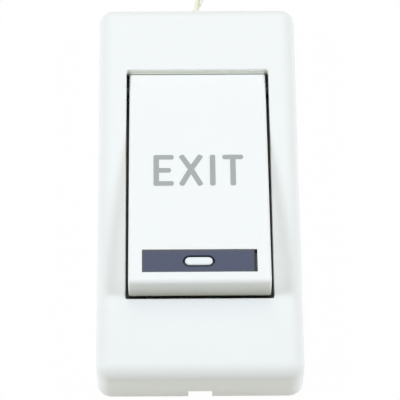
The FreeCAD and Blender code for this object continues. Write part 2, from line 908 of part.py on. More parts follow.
def make_indicator_strip():
    strip = new_body("indicator_strip")
    flat = flat_sketch(strip, "outline", "XY_Plane")
    rectangle(
        flat,
        "(recess_length - strip_short - strip_play) / 2",
        "recess_width / 2 - strip_play",
        across="(strip_play - strip_short) / 2",
    )
    pad(strip, flat, "slab", "strip_thickness")
    window = flat_sketch(strip, "window_outline", "XY_Plane")
    oblong(window, "window_length", "window_width", across="window_offset")
    pocket(strip, window, "window", "strip_thickness", turned=True)
    thickness = value("strip_thickness")
    round_edges(strip, "edge", "strip_play * 2", lambda edge: level(edge, thickness))
    on_face(strip, "recess_inset", out="-recess_depth")
    return strip


def make_indicator_lens():
    """A light pipe: a domed oblong stem with a flange under the rocker's wall."""
    lens = new_body("indicator_lens")
    stem = flat_sketch(lens, "stem_outline", "XY_Plane", "-rocker_wall - lens_stem")
    oblong(stem, "lens_length", "lens_width")
    pad(lens, stem, "stem", "rocker_wall + lens_stem + lens_proud - recess_depth + strip_thickness")
    doc.recompute()
    top = lens.Shape.BoundBox.ZMax
    round_edges(lens, "dome", "lens_dome", lambda edge: level(edge, top))
    flange = flat_sketch(lens, "flange_outline", "XY_Plane", "-rocker_wall - lens_flange_thickness")
    oblong(flange, "window_length + 2 * lens_flange", "window_width + 2 * lens_flange")
    pad(lens, flange, "flange", "lens_flange_thickness")
    on_face(lens, "recess_inset", "window_offset")
    return lens


def pin_places(across_pitch, up_pitch, columns, rows, centre):
    """A grid of places about a centre."""
    for column in range(columns):
        for line in range(rows):
            yield (
                f"{centre[0]} + {column - (columns - 1) / 2} * {across_pitch}",
                f"{centre[1]} + {line - (rows - 1) / 2} * {up_pitch}",
            )


def switch_pins():
    return list(pin_places("switch_row_pitch", "switch_pin_pitch", 2, 3, ("0", "switch_y")))


def lamp_legs():
    return list(pin_places("lamp_leg_pitch", "0", 2, 1, ("window_offset", "window_y")))


def resistor_legs():
    return list(pin_places("0", "resistor_span", 1, 2, ("resistor_x", "resistor_y")))


def make_circuit_board():
    board = new_body("circuit_board")
    flat = flat_sketch(board, "outline", "XY_Plane", "board_under")
    rectangle(flat, "board_width / 2", "board_length / 2", up="board_top_end - board_length / 2")
    pad(board, flat, "slab", "board_thickness")
    round_edges(board, "corners", "board_corner", upright)
    holes = [("0", "spring_y", "spring_hole")]
    for across, up, screwed in board_posts():
        holes.append((across, up, "screw_shank + screw_play" if screwed else "locating_pin + fit_gap"))
    holes += [(*spot, "switch_pin_diameter + hole_clearance") for spot in switch_pins()]
    legs = lamp_legs() + resistor_legs() + list(LEAD_PADS)
    holes += [(*spot, "leg_diameter + hole_clearance") for spot in legs]
    for number, (across, up, diameter) in enumerate(holes, start=1):
        start = (across, up, f"board_under - {PAST}")
        cylinder(board, f"hole_{number}", start, diameter, f"board_thickness + 2 * {PAST}", cut=True)
    return board


def make_board_screws():
    """Two small pan-head screws with cross recesses."""
    screws = new_body("board_screws")
    places = [spot[:2] for spot in board_posts() if spot[2]]
    for number, (across, up) in enumerate(places, start=1):
        head = (across, up, "board_over")
        cylinder(screws, f"head_{number}", head, "screw_head", "screw_head_height")
        foot = (across, up, "board_over - screw_length")
        cylinder(screws, f"shank_{number}", foot, "screw_shank", f"screw_length + {BITE}")
    top = value("board_over + screw_head_height")
    round_edges(screws, "head_rounds", "screw_head_height / 2", lambda edge: level(edge, top))
    for number, (across, up) in enumerate(places, start=1):
        for word, wide, high in (
            ("across", "cross_length", "cross_width"),
            ("along", "cross_width", "cross_length"),
        ):
            low = (f"{across} - {wide} / 2", f"{up} - {high} / 2", "board_over + screw_head_height / 2")
            box(screws, f"recess_{word}_{number}", low, (wide, high, "screw_head_height"), cut=True)
    return screws


def make_switch_body():
    """The switch's moulded case, hollow round its plunger."""
    case = new_body("switch_body")
    half = "switch_side / 2"
    low = (f"-{half}", f"switch_y - {half}", "board_over")
    box(case, "block", low, ("switch_side", "switch_side", "switch_body_height"))
    round_edges(case, "corners", "switch_corner", upright)
    inner = "switch_chamber / 2"
    box(
        case,
        "chamber",
        (f"-{inner}", f"switch_y - {inner}", "board_over + switch_floor"),
        ("switch_chamber", "switch_chamber", "switch_body_height - switch_floor - switch_lid"),
        cut=True,
    )
    guide = "plunger_side + 2 * fit_gap"
    box(
        case,
        "guide",
        (f"-({guide}) / 2", f"switch_y - ({guide}) / 2", f"board_over + switch_floor + {PAST}"),
        (guide, guide, "switch_body_height"),
        cut=True,
    )
    return case


def make_switch_plunger():
    plunger = new_body("switch_plunger")
    side = "plunger_side"
    flange = "plunger_flange"
    low = (f"-{side} / 2", f"switch_y - {side} / 2", "flange_top - plunger_flange_thickness")
    box(plunger, "stem", low, (side, side, "plunger_top - flange_top + plunger_flange_thickness"))
    top = value("plunger_top")
    round_edges(plunger, "tip", "plunger_round", lambda edge: level(edge, top))
    low = (f"-{flange} / 2", f"switch_y - {flange} / 2", "flange_top - plunger_flange_thickness")
    box(plunger, "flange", low, (flange, flange, "plunger_flange_thickness"))
    return plunger


def make_pins(name, places, diameter, top):
    """A group of straight pins that run down through the board."""
    pins = new_body(name)
    for number, (across, up) in enumerate(places, start=1):
        cylinder(pins, f"pin_{number}", (across, up, "leg_foot"), diameter, f"{top} - leg_foot")
    return pins


def make_lamp():
    """A round lamp with a flange at its foot and a domed top."""
    lamp = new_body("led_body")
    flat = flat_sketch(lamp, "half_profile", "XZ_Plane")
    radius = "lamp_diameter / 2"
    outline(
        flat,
        [
            ("0", "0"),
            ("lamp_flange / 2", "0"),
            ("lamp_flange / 2", "lamp_flange_height"),
            (radius, "lamp_flange_height"),
            (radius, f"lamp_height - {radius}"),
            ("0", "lamp_height"),
        ],
        arc_after=4,
        arc_centre=("0", f"lamp_height - {radius}"),
        open_across=(4,),
    )
    revolve(lamp, flat, "turned")
    place(lamp, ("window_offset", "window_y", "board_over"))
    return lamp


def make_resistor_body():
    """A waisted body: two caps and a slimmer middle."""
    body = new_body("resistor_body")
    low = "resistor_y - resistor_length / 2"
    axis_height = "board_over + resistor_diameter / 2"
    middle = ("resistor_x", low, axis_height)
    cylinder(body, "middle", middle, "resistor_diameter * 0.85", "resistor_length", along="y")
    cap = "resistor_length * 0.24"
    for word, start in (("low", low), ("high", f"{low} + resistor_length - {cap}")):
        cylinder(body, f"cap_{word}", ("resistor_x", start, axis_height), "resistor_diameter", cap, along="y")
    middle_y = value("resistor_y")
    reach = value("resistor_length / 2")

    def end_edge(edge):
        return near(edge.BoundBox.YLength, 0) and near(abs(edge.BoundBox.Center.y - middle_y), reach)

    round_edges(body, "cap_rounds", "resistor_diameter * 0.15", end_edge)
    return body


def tangent_path(points, radii):
    """Straight runs joined by tangent arcs, as one wire."""
    edges = []
    start = points[0]
    for index in range(1, len(points) - 1):
        before = (points[index - 1] - points[index]).normalize()
        after = (points[index + 1] - points[index]).normalize()
        half_turn = (math.pi - before.getAngle(after)) / 2
        back = radii[index - 1] * math.tan(half_turn)
        first = points[index] + before * back
        last = points[index] + after * back
        towards = (before + after).normalize()
        centre = points[index] + towards * (radii[index - 1] / math.cos(half_turn))
        middle = centre - towards * radii[index - 1]
        edges.append(Part.LineSegment(start, first).toShape())
        edges.append(Part.Arc(first, middle, last).toShape())
        start = last
    edges.append(Part.LineSegment(start, points[-1]).toShape())
    return Part.Wire(edges)


def widest_radii(points, share=CORD_SHARE):
    """The widest arcs that fit: a share of the shorter run, over the tangent of half the turn."""
    radii = []
    for index in range(1, len(points) - 1):
        before = points[index - 1] - points[index]
        after = points[index + 1] - points[index]
        half_turn = (math.pi - before.getAngle(after)) / 2
        radii.append(share * min(before.Length, after.Length) / math.tan(half_turn))
    return radii


def round_tube(points, radii, diameter):
    """A round wire along such a path, and a check of its volume against section times length."""
    path = tangent_path(points, radii)
    direction = points[1] - points[0]
    section = Part.Wire([Part.Circle(points[0], direction, diameter / 2).toShape()])
    tube = path.makePipeShell([section], True, False)
    expected = math.pi * diameter**2 / 4 * path.Length
    if abs(tube.Volume / expected - 1) > 0.01:
        raise RuntimeError("a tube's volume isn't its section times its length")
    return tube, path


def new_shape(name, shape):
    item = doc.addObject("Part::Feature", name)
    item.Label = name
    item.Shape = shape
    item.Placement = Placement()
    return item


def points_of(formulas):
    return [Vector(*(value(text) for text in point)) for point in formulas]


def make_resistor_legs():
    """A wire from each end of the resistor, bent down into the board."""
    legs = []
    axis_height = "board_over + resistor_diameter / 2"
    for sign in ("-1", "1"):
        points = points_of(
            [
                ("resistor_x", f"resistor_y + {sign} * resistor_length / 2", axis_height),
                ("resistor_x", f"resistor_y + {sign} * resistor_span / 2", axis_height),
                ("resistor_x", f"resistor_y + {sign} * resistor_span / 2", "leg_foot"),
            ]
        )
        tube, _ = round_tube(points, [value("resistor_bend")], value("leg_diameter"))
        legs.append(tube)
    return new_shape("resistor_legs", Part.makeCompound(legs))


def make_return_spring():
    """A helix of round wire with both ends ground flat."""
    height = "spring_top - plate_thickness - spring_rest"
    helix = doc.addObject("Part::Helix", "spring_helix")
    bind(helix, Radius="spring_coil / 2", Pitch=f"({height}) / spring_turns", Height=height)
    section = doc.addObject("Part::Circle", "spring_section")
    bind(section, Radius="spring_wire / 2")
    upright_circle = Rotation(Vector(1, 0, 0), 90).multiply(Rotation(Vector(0, 0, 1), 45))
    place(section, ("spring_coil / 2", "0", "0"), upright_circle)
    wire = doc.addObject("Part::Sweep", "spring_sweep")
    wire.Sections = [section]
    wire.Spine = (helix, [])
    wire.Solid = True
    wire.Frenet = True
    ground = doc.addObject("Part::Box", "spring_ground_ends")
    bind(ground, Length="2 * spring_coil", Width="2 * spring_coil", Height=height)
    place(ground, ("-spring_coil", "-spring_coil", "0"))
    spring = doc.addObject("Part::Common", "return_spring")
    spring.Label = "return_spring"
    spring.Base = wire
    spring.Tool = ground
    place(spring, ("0", "spring_y", "plate_thickness + spring_rest"))
    return spring


def make_lead(name, pad_place, route, side):
    """One insulated lead, from above the board to its side of the cable notch."""
    out = points_of(CORD_ROUTE[:2])
    heading = (out[1] - out[0]).normalize()
    aside = Vector(heading.y, -heading.x, 0) * side * (value("pair_diameter") / 4 + 0.01)
    end = out[0] + aside
    across, up = pad_place
    points = points_of(
        [
            (across, up, "board_over + tail_rise"),
            (across, up, "board_over + tail_rise + lead_upright"),
            *route,
        ]
    )
    points += [end - heading * value("lead_straight"), end]
    tube, _ = round_tube(points, widest_radii(points, share=LEAD_SHARE), value("wire_diameter"))
    return new_shape(name, tube)


def make_lead_pair():
    """The pair as it lies on the table, from the cable notch to its coil."""
    points = points_of(CORD_ROUTE)
    radii = widest_radii(points)
    tube, path = round_tube(points, radii, value("pair_diameter"))
    print("lead radii", [round(radius, 1) for radius in radii], "length", round(path.Length, 1))
    return new_shape("lead_pair", tube)


def make_lead_coil():
    """The outer shape of the wound length."""
    coil = new_body("lead_coil")
    outer = "2 * coil_mean_radius + coil_section"
    inner = "2 * coil_mean_radius - coil_section"
    cylinder(coil, "outside", ("0", "0", "0"), outer, "coil_section")
    cylinder(coil, "inside", ("0", "0", f"-{PAST}"), inner, f"coil_section + 2 * {PAST}", cut=True)

    def ring_edge(edge):
        return near(edge.BoundBox.ZLength, 0)

    round_edges(coil, "rounds", "coil_round", ring_edge)
    place(coil, ("coil_across", "coil_y", "coil_bottom"))
    return coil


def make_coil_tie():
    """A thin flat band round the coil, on the side away from the housing."""
    tie = new_body("coil_tie")
    band = "coil_tie_thickness"
    hole = "coil_section + 2 * coil_play"
    box(
        tie,
        "block",
        ("-coil_tie_width / 2", f"-({hole}) / 2 - {band}", "0"),
        ("coil_tie_width", f"{hole} + 2 * {band}", f"coil_section + coil_play + 2 * {band}"),
    )
    box(
        tie,
        "hole",
        (f"-coil_tie_width / 2 - {PAST}", f"-({hole}) / 2", band),
        (f"coil_tie_width + 2 * {PAST}", hole, "coil_section + coil_play"),
        cut=True,
    )
    place(tie, ("coil_across", "coil_y + coil_mean_radius", "0"))
    return tie


def make_lead_ends():
    """The two stripped ends side by side, inside the coil."""
    ends = []
    radius = value("tail_diameter") / 2
    start = points_of([ENDS_START])[0]
    heading = Vector(*ENDS_HEADING).normalize()
    aside = heading.cross(Vector(0, 0, 1)) * value("ends_apart")
    for number in range(2):
        base = start + aside * number
        ends.append(Part.makeCylinder(radius, value("stripped_length"), base, heading))
    return new_shape("lead_ends", Part.makeCompound(ends))


NODES = [
    make_front_cover(),
    make_back_plate(),
    make_rocker(),
    make_indicator_strip(),
    make_indicator_lens(),
    make_circuit_board(),
    make_board_screws(),
    make_switch_body(),
    make_switch_plunger(),
    make_pins("switch_pins", switch_pins(), "switch_pin_diameter", "board_over"),
    make_lamp(),
    make_pins("led_legs", lamp_legs(), "leg_diameter", "board_over"),
    make_resistor_body(),
    make_resistor_legs(),
    make_return_spring(),
    make_lead("lead_wire_a", LEAD_PADS[0], LEAD_ROUTES[0], 1),
    make_lead("lead_wire_b", LEAD_PADS[1], LEAD_ROUTES[1], -1),
    make_pins("lead_tails", LEAD_PADS, "tail_diameter", "board_over + tail_rise"),
    make_lead_pair(),
    make_lead_coil(),
    make_coil_tie(),
    make_lead_ends(),
]
doc.recompute()

for item in doc.Objects:
    if {"Invalid", "Error"} & set(item.State):
        raise RuntimeError(f"{item.Name} failed: {item.State}")
for node in NODES:
    if node.Shape.isNull() or not node.Shape.isValid():
        raise RuntimeError(f"{node.Label} has no valid shape")

os.makedirs("parts", exist_ok=True)
for node in NODES:
    node.Shape.exportStep(f"parts/{node.Label}.step")
    solids = len(node.Shape.Solids)
    print(node.Label, "solids", solids, "volume", round(node.Shape.Volume, 1))
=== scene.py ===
import math

import bmesh
import bpy
from mathutils import Matrix, Vector


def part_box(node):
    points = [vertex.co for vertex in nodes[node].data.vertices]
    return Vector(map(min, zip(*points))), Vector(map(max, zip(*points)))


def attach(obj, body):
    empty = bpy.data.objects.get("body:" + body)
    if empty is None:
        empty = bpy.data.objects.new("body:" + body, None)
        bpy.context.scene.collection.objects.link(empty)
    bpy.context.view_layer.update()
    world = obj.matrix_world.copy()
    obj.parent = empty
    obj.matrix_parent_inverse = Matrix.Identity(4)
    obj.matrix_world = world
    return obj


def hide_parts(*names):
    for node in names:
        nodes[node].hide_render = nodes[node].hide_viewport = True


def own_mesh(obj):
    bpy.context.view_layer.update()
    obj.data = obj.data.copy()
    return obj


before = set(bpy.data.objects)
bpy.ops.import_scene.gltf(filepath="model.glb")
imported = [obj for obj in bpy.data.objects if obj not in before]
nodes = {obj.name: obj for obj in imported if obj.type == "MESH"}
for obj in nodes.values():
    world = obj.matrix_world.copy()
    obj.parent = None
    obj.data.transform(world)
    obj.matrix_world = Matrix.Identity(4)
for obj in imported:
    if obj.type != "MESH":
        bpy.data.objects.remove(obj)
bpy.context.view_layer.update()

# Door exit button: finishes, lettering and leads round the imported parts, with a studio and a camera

mm = 0.001
print("loaded", len(nodes), "nodes")


# Shader building

class Signal:  # one output socket, with arithmetic
    def __init__(self, finish, socket):
        self.finish = finish
        self.socket = socket

    def join(self, operation, first, second):
        return self.finish.add("ShaderNodeMath", {"operation": operation}, [first, second])

    def __add__(self, other):
        return self.join("ADD", self, other)

    def __radd__(self, other):
        return self.join("ADD", other, self)

    def __sub__(self, other):
        return self.join("SUBTRACT", self, other)

    def __rsub__(self, other):
        return self.join("SUBTRACT", other, self)

    def __mul__(self, other):
        return self.join("MULTIPLY", self, other)

    def __rmul__(self, other):
        return self.join("MULTIPLY", other, self)

    def __truediv__(self, other):
        return self.join("DIVIDE", self, other)

    def __rtruediv__(self, other):
        return self.join("DIVIDE", other, self)

    def __abs__(self):
        return self.join("ABSOLUTE", self, 0.0)

    def __gt__(self, other):
        return self.join("GREATER_THAN", self, other)

    def __lt__(self, other):
        return self.join("LESS_THAN", self, other)


class Finish:  # a material or a world, and its nodes
    def __init__(self, name, world=None):
        self.material = world or bpy.data.materials.new(name)
        self.material.use_nodes = True
        self.tree = self.material.node_tree
        self.shader = self.tree.nodes["Background" if world else "Principled BSDF"]

    def feed(self, socket, value):
        if isinstance(value, Signal):
            self.tree.links.new(value.socket, socket)
        else:
            socket.default_value = value

    def add(self, kind, settings=None, values=None, output=0):
        node = self.tree.nodes.new(kind)
        for name, setting in (settings or {}).items():
            if name == "stops":
                for spot, colour in setting[1:-1]:
                    node.color_ramp.elements.new(spot).color = colour
                for end in (0, -1):
                    stop = node.color_ramp.elements[end]
                    stop.position, stop.color = setting[end]
                node.color_ramp.interpolation = "CONSTANT"
            else:
                setattr(node, name, setting)
        entries = values.items() if isinstance(values, dict) else enumerate(values or [])
        for key, value in entries:
            self.feed(node.inputs[key], value)
        return Signal(self, node.outputs[output])

    def place(self):
        return self.add("ShaderNodeTexCoord", output="Object")

    def along(self, axis):  # in millimetres
        return self.add("ShaderNodeSeparateXYZ", values=[self.place()], output=axis) / mm

    def noise(self, scale, detail=3):
        values = {"Vector": self.place(), "Scale": scale, "Detail": detail}
        return self.add("ShaderNodeTexNoise", values=values)

    def tint(self, share, first, second):
        settings = {"data_type": "RGBA"}
        return self.add("ShaderNodeMix", settings, {0: share, 6: first, 7: second}, output=2)

    def ramp(self, share, low, high):  # 0 below low, 1 above high
        values = {"Value": share, "From Min": low, "From Max": high}
        return self.add("ShaderNodeMapRange", {"interpolation_type": "SMOOTHSTEP"}, values)

    def bump(self, height, depth):
        values = {"Height": height, "Distance": depth, "Strength": 1.0}
        return self.add("ShaderNodeBump", values=values)

    def shade(self, **inputs):
        for name, value in inputs.items():
            self.feed(self.shader.inputs[name.replace("_", " ")], value)


def opaque(colour):
    return (*colour, 1.0)


def darker(colour, share):
    return tuple(part * share for part in colour)


def between(signal, low, high):
    return (signal > low) * (signal < high)


def around(signal, middle, spread):  # a noise's spread about a middle value
    return middle + (signal - 0.5) * spread


def dress(finish, *names):  # give CAD nodes this finish
    for name in names:
        mesh = nodes[name].data
        mesh.materials.clear()
        mesh.materials.append(finish.material)


def link(name, data):
    holder = bpy.data.objects.new(name, data)
    bpy.context.scene.collection.objects.link(holder)
    return holder


def newPiece(name, shape):
    mesh = bpy.data.meshes.new(name)
    shape.to_mesh(mesh)
    shape.free()
    return link(name, mesh)


# Camera at the photograph's angle

camera = {
    "place": (-6.105, -249.353, 513.32),
    "turn": (25.913, -0.414, -0.551),
    "lens": 203.49,
    "sensor": 36,
    "shift": (0.00434, 0.01729),
    "nearest": 10,
}


def makeCamera():
    data = bpy.data.cameras.new("photoCamera")
    data.sensor_width = camera["sensor"]
    data.lens = camera["lens"]
    data.shift_x, data.shift_y = camera["shift"]
    data.clip_start = camera["nearest"] * mm
    holder = link("photoCamera", data)
    holder.location = Vector(camera["place"]) * mm
    holder.rotation_euler = [math.radians(angle) for angle in camera["turn"]]
    bpy.context.scene.camera = holder


# Twisted pair of leads, along the same route as the solid one

lead = {
    "route": [(-1.5, 50.5), (-1, 55), (0.6, 59), (2.6, 65), (3, 71), (3, 75)],
    "routeLevel": 1.0,
    "strand": 0.92,  # one insulated conductor
    "strandRings": 3,
    "pair": 1.9,
    "twist": 9.5,  # length of one turn of the pair
    "step": 0.4,
    "splineOrder": 3,
    "splineResolution": 8,
    "pale": (0.86, 0.87, 0.79),
    "paleShade": (0.79, 0.8, 0.7),
    "cream": (0.87, 0.88, 0.7),
    "creamShade": (0.81, 0.82, 0.63),
    "roughness": 0.42,
    "roughnessSpread": 0.2,
    "patchScale": 900,
    "grainScale": 9000,
    "grainDetail": 2,
    "grainDepth": 0.01,
}
coil = {  # its angles count from its first point, at 180 degrees, and fall
    "centre": (14.15, 75.0),
    "outer": 11.15,
    "inner": 9.25,
    "low": 1.25,
    "high": 3.2,
    "turnPoints": 20,
    "up": (60, 135),
    "inward": (480, 540),
    "down": (765, 835),
    "away": (1130, 1200),
    "endAngle": -1200.0,
    "endRadius": 7.1,
    "endLevel": 0.9,
}


def smoothStep(value, low, high):
    share = min(max((value - low) / (high - low), 0.0), 1.0)
    return share * share * (3 - 2 * share)


def coilPoint(angle):  # the pair's centre
    up, inward, down, away = (
        smoothStep(-angle, *coil[stretch]) for stretch in ("up", "inward", "down", "away")
    )
    radius = coil["outer"] + (coil["inner"] - coil["outer"]) * inward
    radius += (coil["endRadius"] - coil["inner"]) * away
    level = coil["low"] + (coil["high"] - coil["low"]) * (up - down)
    level += (coil["endLevel"] - coil["low"]) * away
    turn = math.radians(angle)
    centreX, centreY = coil["centre"]
    return centreX + radius * math.cos(turn), centreY + radius * math.sin(turn), level


def leadRoute():
    points = [(across, up, lead["routeLevel"]) for across, up in lead["route"]]
    step = 360 / coil["turnPoints"]
    angle = 180 - step
    while angle > coil["endAngle"] + step / 2:
        points.append(coilPoint(angle))
        angle -= step
    points.append(coilPoint(coil["endAngle"]))
    return [Vector(point) * mm for point in points]


def splineCurve(name, points, kind):
    curve = bpy.data.curves.new(name, "CURVE")
    curve.dimensions = "3D"
    spline = curve.splines.new(kind)
    spline.points.add(len(points) - 1)
    for spot, point in zip(spline.points, points):
        spot.co = (*point, 1.0)
    if kind == "NURBS":
        spline.order_u = lead["splineOrder"]
        spline.use_endpoint_u = True
        spline.resolution_u = lead["splineResolution"]
    return curve


def meshOf(curve):
    holder = link(curve.name, curve)
    bpy.context.view_layer.update()
    finished = holder.evaluated_get(bpy.context.evaluated_depsgraph_get())
    mesh = bpy.data.meshes.new_from_object(finished)
    bpy.data.objects.remove(holder)
    return mesh


def centreLine():
    mesh = meshOf(splineCurve("leadCentre", leadRoute(), "NURBS"))
    return [vertex.co.copy() for vertex in mesh.vertices]


def evenly(points, step):  # the same line with even steps
    line = [points[0]]
    left = step
    for first, second in zip(points, points[1:]):
        run = (second - first).length
        while left <= run:
            line.append(first.lerp(second, left / run))
            left += step
        left -= run
    return line


def twisted(line, phase, step):  # a strand that winds about the line
    offset = (lead["pair"] - lead["strand"]) / 2 * mm
    points = []
    for index, point in enumerate(line):
        ahead = line[min(index + 1, len(line) - 1)] - line[max(index - 1, 0)]
        side = ahead.normalized().cross(Vector((0, 0, 1))).normalized()
        rise = side.cross(ahead.normalized())
        turn = phase + 2 * math.pi * index * step / (lead["twist"] * mm)
        points.append(point + (side * math.cos(turn) + rise * math.sin(turn)) * offset)
    return points


def insulation(name, colour, shade):
    finish = Finish(name)
    patch = finish.noise(lead["patchScale"])
    grain = finish.noise(lead["grainScale"], lead["grainDetail"])
    finish.shade(
        Base_Color=finish.tint(patch, opaque(shade), opaque(colour)),
        Roughness=around(grain, lead["roughness"], lead["roughnessSpread"]),
        Normal=finish.bump(grain, lead["grainDepth"] * mm),
    )
    return finish


def makeLead():
    line = centreLine()
    step = lead["step"] * mm
    even = evenly(line, step)
    whole = bmesh.new()
    for number in range(2):
        curve = splineCurve(f"strand{number}", twisted(even, number * math.pi, step), "POLY")
        curve.bevel_depth = lead["strand"] / 2 * mm
        curve.bevel_resolution = lead["strandRings"]
        curve.use_fill_caps = True
        before = len(whole.faces)
        whole.from_mesh(meshOf(curve))
        whole.faces.ensure_lookup_table()
        for facet in whole.faces[before:]:
            facet.material_index = number
            facet.smooth = len(facet.verts) == 4
    bmesh.ops.recalc_face_normals(whole, faces=whole.faces)
    piece = newPiece("leadPair", whole)
    for name in ("pale", "cream"):
        finish = insulation(f"{name}Insulation", lead[name], lead[f"{name}Shade"])
        piece.data.materials.append(finish.material)
    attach(piece, "base")
    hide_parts("lead_pair", "lead_coil")


makeCamera()
makeLead()
print("camera and lead made")


# Moulded plastic of the cover, the rocker and the back plate

plastics = {
    "coverPlastic": {
        "node": "front_cover",
        "colour": (0.876, 0.894, 0.896),
        "shade": (0.862, 0.88, 0.88),
        "roughness": 0.3,
        "grainDepth": 0.003,
        "glow": 0.0,
    },
    "rockerPlastic": {
        "node": "rocker",
        "colour": (0.886, 0.902, 0.904),
        "shade": (0.874, 0.89, 0.89),
        "roughness": 0.3,
        "grainDepth": 0.003,
        "glow": 0.05,
    },
    "platePlastic": {
        "node": "back_plate",
        "colour": (0.8, 0.81, 0.8),
        "shade": (0.77, 0.78, 0.77),
        "roughness": 0.5,
        "grainDepth": 0.01,
        "glow": 0.0,
    },
}
moulded = {  # alike on all of them
    "cloudScale": 60,
    "grainScale": 6000,
    "roughnessSpread": 0.12,
    "glowScale": 2.0,
    "glowRadius": (1.0, 0.9, 0.8),
}
recess = {  # under the strip; its floor gets painted shade
    "halfWidth": 13.95,
    "low": 2.75,
    "high": 9.3,
    "depth": 0.35,  # the painted shade starts this far down
    "paintedRecessShade": (0.012, 0.012, 0.014),
}
frontWallShade = {  # painted shade, darker and greyer towards its foot
    "front": -28.5,
    "low": 13.2,
    "high": 18.6,
    "grey": (0.6, 0.61, 0.56),
}
collar = {  # painted light: the opening's upper wall and the rocker's end facing it are made lighter, standing in for light bounced in the gap
    "start": 31.6,
    "end": 33.2,
    "halfWidth": 18.2,
    "low": 9.0,
    "high": 12.9,
    "paintedLight": (0.98, 0.99, 0.95),
}
gapShade = {  # painted shade: near-black on the rocker round its edges, below the cover's face
    "side": 17.05,
    "front": -29.2,
    "level": 12.9,
    "under": -0.8,
    "shade": (0.02, 0.02, 0.018),
}
slopingFace = {
    "footY": -29.354,
    "footZ": 19.4,
    "slope": 7.163,
}


def facePlaces(finish):  # across, up and out from the rocker's sloping face
    slope = math.radians(slopingFace["slope"])
    along = finish.along("Y") - slopingFace["footY"]
    rise = finish.along("Z") - slopingFace["footZ"]
    up = along * math.cos(slope) - rise * math.sin(slope)
    out = along * math.sin(slope) + rise * math.cos(slope)
    return finish.along("X"), up, out


def collarPaintedLight(finish, colour):
    # painted light: a lighter colour on the collar walls
    near = between(finish.along("Y"), collar["start"], collar["end"])
    near = near * between(finish.along("Z"), collar["low"], collar["high"])
    near = near * (abs(finish.along("X")) < collar["halfWidth"])
    return finish.tint(near, colour, opaque(collar["paintedLight"]))


def rockerPaintedShade(finish, colour):  # painted shade under the strip, down the front wall towards its foot, and in the gap
    across, up, out = facePlaces(finish)
    along = finish.along("Y")
    rise = finish.along("Z")
    under = out < gapShade["under"]
    # painted shade: near-black on the recess floor under the strip, where little light reaches
    sunk = (abs(across) < recess["halfWidth"]) * between(up, recess["low"], recess["high"])
    sunk = sunk * (out < -recess["depth"])
    colour = finish.tint(sunk, colour, opaque(recess["paintedRecessShade"]))
    # painted shade: the front wall darkens towards its foot
    foot = 1 - finish.ramp(rise, frontWallShade["low"], frontWallShade["high"])
    footShade = (along < frontWallShade["front"]) * foot * under
    colour = finish.tint(footShade, colour, opaque(frontWallShade["grey"]))
    # painted shade in the gap round the rocker
    outside = (abs(across) > gapShade["side"]) + (along < gapShade["front"])
    deep = (rise < gapShade["level"]) * under
    return finish.tint(outside * deep, colour, opaque(gapShade["shade"]))


def makePlastics():
    for name, look in plastics.items():
        finish = Finish(name)
        cloud = finish.noise(moulded["cloudScale"])
        grain = finish.noise(moulded["grainScale"])
        colour = finish.tint(cloud, opaque(look["shade"]), opaque(look["colour"]))
        if look["node"] != "back_plate":
            colour = collarPaintedLight(finish, colour)
        if look["node"] == "rocker":
            colour = rockerPaintedShade(finish, colour)
        finish.shade(
            Base_Color=colour,
            Roughness=around(grain, look["roughness"], moulded["roughnessSpread"]),
            Normal=finish.bump(grain, look["grainDepth"] * mm),
            Subsurface_Weight=look["glow"],
            Subsurface_Scale=moulded["glowScale"] * mm,
            Subsurface_Radius=moulded["glowRadius"],
        )
        dress(finish, look["node"])


# Narrow ledge under the opening's upper edge, which closes the gap at the rocker's end; its colour is
# painted shade, darker than the cover's plastic

ledge = {
    "halfWidth": 17.1,
    "front": 31.93,
    "back": 32.45,
    "top": 11.62,
    "thickness": 0.4,
    "edge": 0.06,
    # painted shade: darker than the cover's plastic
    "colour": (0.665, 0.69, 0.625),
    "shade": (0.635, 0.66, 0.595),
    "roughness": 0.5,
}


def makeLedge():
    front, back, thickness = ledge["front"], ledge["back"], ledge["thickness"]
    size = (2 * ledge["halfWidth"], back - front, thickness)
    middle = (0, (back + front) / 2, ledge["top"] - thickness / 2)
    shape = bmesh.new()
    bmesh.ops.create_cube(shape, size=1)
    bmesh.ops.scale(shape, vec=Vector(size) * mm, verts=shape.verts)
    bmesh.ops.bevel(
        shape,
        geom=shape.edges[:],
        affect="EDGES",
        offset=ledge["edge"] * mm,
        segments=2,
        profile=0.5,
        material=-1,
    )
    bmesh.ops.translate(shape, vec=Vector(middle) * mm, verts=shape.verts)
    finish = Finish("ledgePaintedShade")
    cloud = finish.noise(moulded["cloudScale"])
    finish.shade(
        Base_Color=finish.tint(cloud, opaque(ledge["shade"]), opaque(ledge["colour"])),
        Roughness=around(cloud, ledge["roughness"], moulded["roughnessSpread"]),
    )
    piece = newPiece("openingLedge", shape)
    piece.data.materials.append(finish.material)
    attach(piece, "base")


# Indicator strip, with a dim border and painted shade as a dark gap at its right end

strip = {
    "slate": (0.06, 0.071, 0.124),
    "border": (0.088, 0.093, 0.102),
    "borderWidth": 0.7,
    "borderShare": 0.9,
    "endShadeWidth": 0.3,
    "dark": (0.015, 0.015, 0.02),
    "roughness": 0.5,
    "roughnessSpread": 0.15,
    "grainScale": 7000,
    "grainDepth": 0.006,
}


